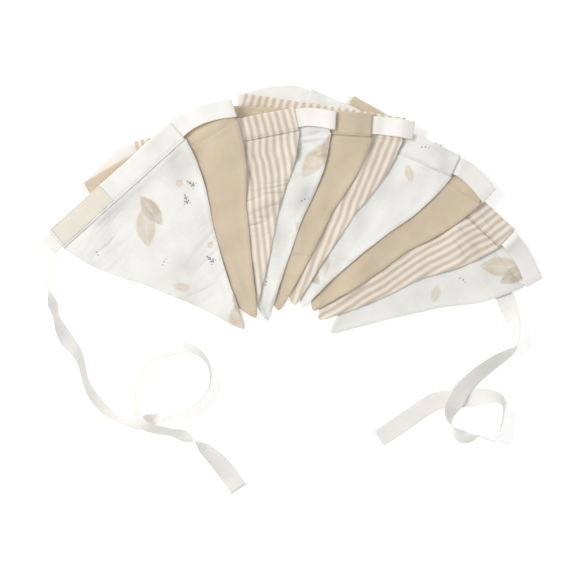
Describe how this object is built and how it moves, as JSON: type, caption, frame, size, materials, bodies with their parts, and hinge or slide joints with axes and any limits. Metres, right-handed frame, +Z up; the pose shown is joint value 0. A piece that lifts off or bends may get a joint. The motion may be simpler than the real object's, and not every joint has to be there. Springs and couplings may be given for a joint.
{
  "type": "fabric bunting",
  "caption": "Cotton bunting of triangular flags threaded on one flat tape, folded back and forth into a fan and laid flat, with a free tie at each end.",
  "frame": {"origin": "middle of the outline seen from above, on the surface that the bunting lies on", "axes": "+Z up from the surface; +X to the right along the fan's width; +Y from the tips towards the casings"},
  "size_m": [0.5036, 0.409, 0.0304],
  "materials": {
    "print_cotton": "plain woven white cotton with a sparse watercolour print of leaves and sprigs",
    "sand_cotton": "plain woven sand cotton with faint slubs",
    "stripe_cotton": "plain woven cotton with narrow sand and cream stripes",
    "cotton_tape": "soft flat woven cotton tape, off-white",
    "plain_tab": "smooth cream woven tab, bare"
  },
  "bodies": {
    "root": {"flag_1": "print_cotton", "flag_2": "sand_cotton", "flag_3": "stripe_cotton", "flag_4": "print_cotton", "flag_5": "sand_cotton", "flag_6": "stripe_cotton", "flag_7": "print_cotton", "flag_8": "sand_cotton", "flag_9": "stripe_cotton", "flag_10": "print_cotton", "tape": "cotton_tape", "tab": "plain_tab"}
  },
  "joints": []
}
